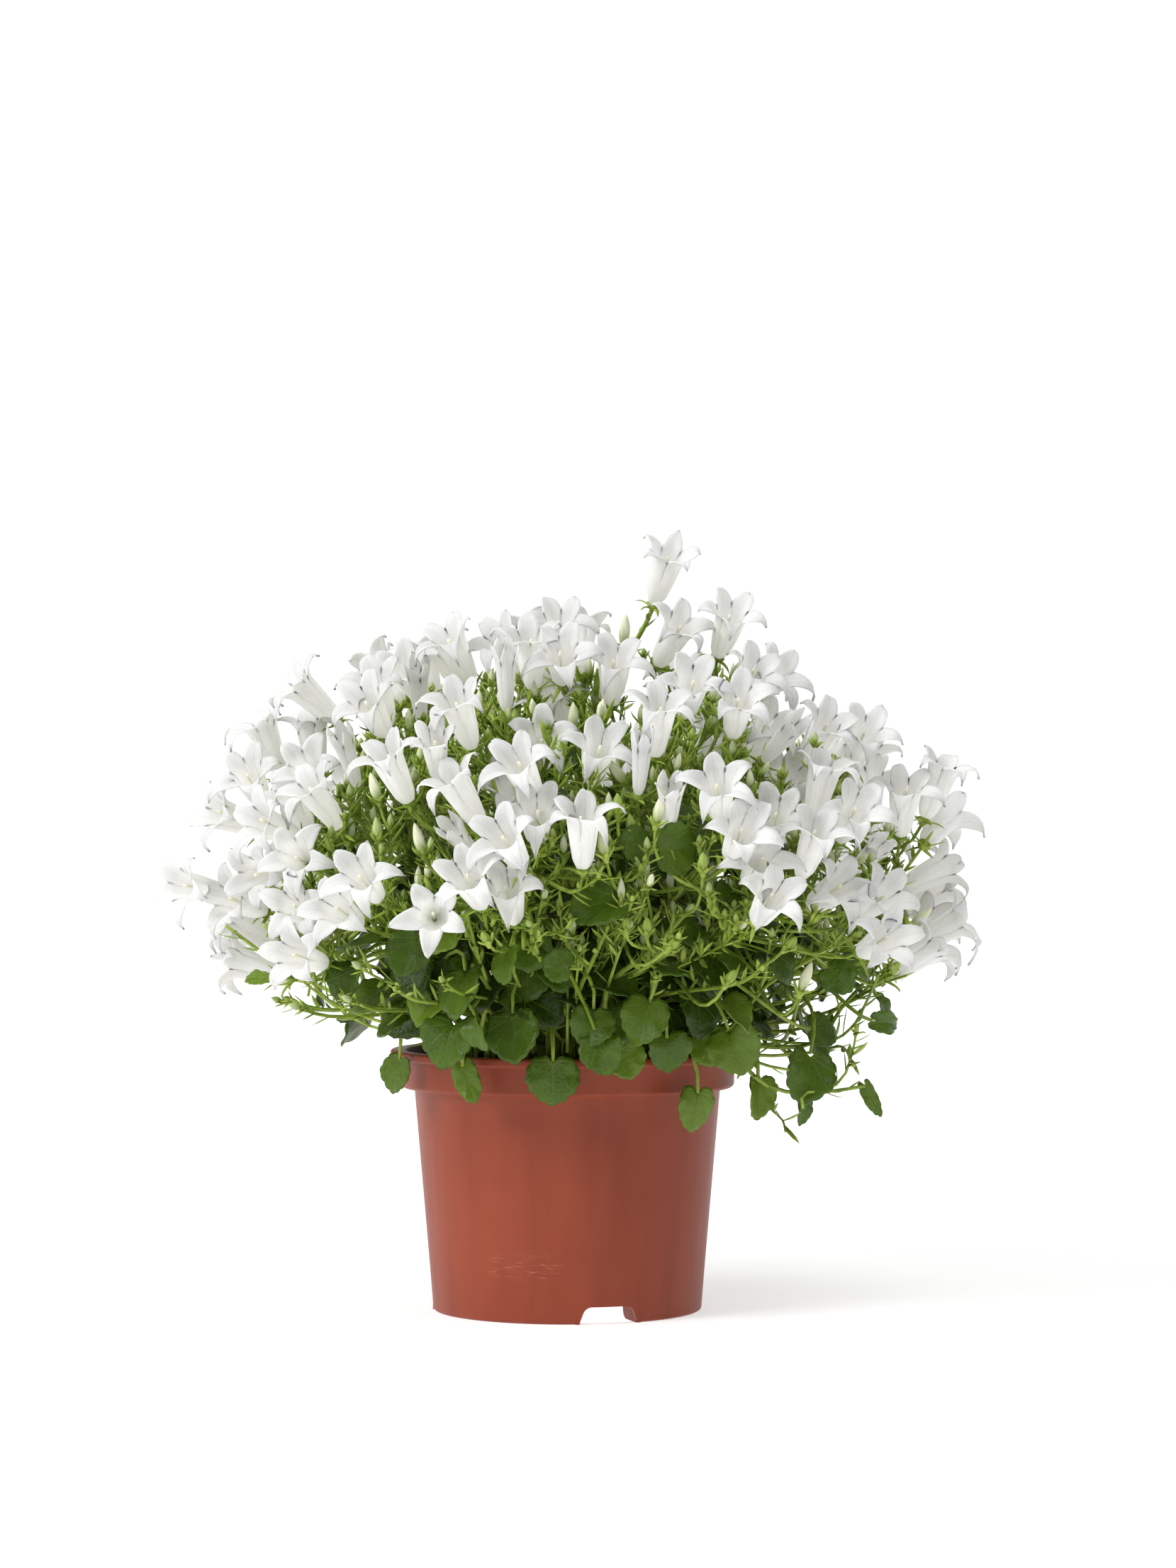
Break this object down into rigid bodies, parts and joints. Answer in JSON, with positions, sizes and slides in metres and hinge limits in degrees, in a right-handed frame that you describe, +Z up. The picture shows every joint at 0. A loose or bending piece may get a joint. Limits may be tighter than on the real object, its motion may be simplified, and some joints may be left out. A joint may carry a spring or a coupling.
{
  "type": "potted dalmatian bellflower",
  "caption": "Mound of white bell flowers on thin leafy stems, growing in potting soil in a flanged terracotta-coloured plastic grower's pot.",
  "frame": {"origin": "on the pot's axis, at the level it stands on, which is the bottom centre of the object's box", "axes": "+Z up along the pot's axis, -Y towards the side seen in the picture, +X to the right of that view"},
  "size_m": [0.2849, 0.2591, 0.2633],
  "materials": {
    "pot": "satin terracotta-coloured injection-moulded plastic with fine scuffs",
    "soil": "dark crumbly peat",
    "leafy_stems": "fresh green, matt, finely hairy",
    "blooms": "white, soft and slightly translucent"
  },
  "bodies": {
    "root": {"blooms_01": "blooms", "blooms_02": "blooms", "blooms_03": "blooms", "blooms_04": "blooms", "blooms_05": "blooms", "blooms_06": "blooms", "blooms_07": "blooms", "blooms_08": "blooms", "blooms_09": "blooms", "blooms_10": "blooms", "blooms_11": "blooms", "blooms_12": "blooms", "blooms_13": "blooms", "blooms_14": "blooms", "blooms_15": "blooms", "blooms_16": "blooms", "blooms_17": "blooms", "blooms_18": "blooms", "blooms_19": "blooms", "blooms_20": "blooms", "blooms_21": "blooms", "blooms_22": "blooms", "blooms_23": "blooms", "blooms_24": "blooms", "blooms_25": "blooms", "blooms_26": "blooms", "blooms_27": "blooms", "blooms_28": "blooms", "blooms_29": "blooms", "blooms_30": "blooms", "blooms_31": "blooms", "blooms_32": "blooms", "blooms_33": "blooms", "blooms_34": "blooms", "blooms_35": "blooms", "blooms_36": "blooms", "blooms_37": "blooms", "blooms_38": "blooms", "blooms_39": "blooms", "blooms_40": "blooms", "blooms_41": "blooms", "leafy_stem_01": "leafy_stems", "leafy_stem_02": "leafy_stems", "leafy_stem_03": "leafy_stems", "leafy_stem_04": "leafy_stems", "leafy_stem_05": "leafy_stems", "leafy_stem_06": "leafy_stems", "leafy_stem_07": "leafy_stems", "leafy_stem_08": "leafy_stems", "leafy_stem_09": "leafy_stems", "leafy_stem_10": "leafy_stems", "leafy_stem_11": "leafy_stems", "leafy_stem_12": "leafy_stems", "leafy_stem_13": "leafy_stems", "leafy_stem_14": "leafy_stems", "leafy_stem_15": "leafy_stems", "leafy_stem_16": "leafy_stems", "pot": "pot", "potting_soil": "soil"}
  },
  "joints": []
}
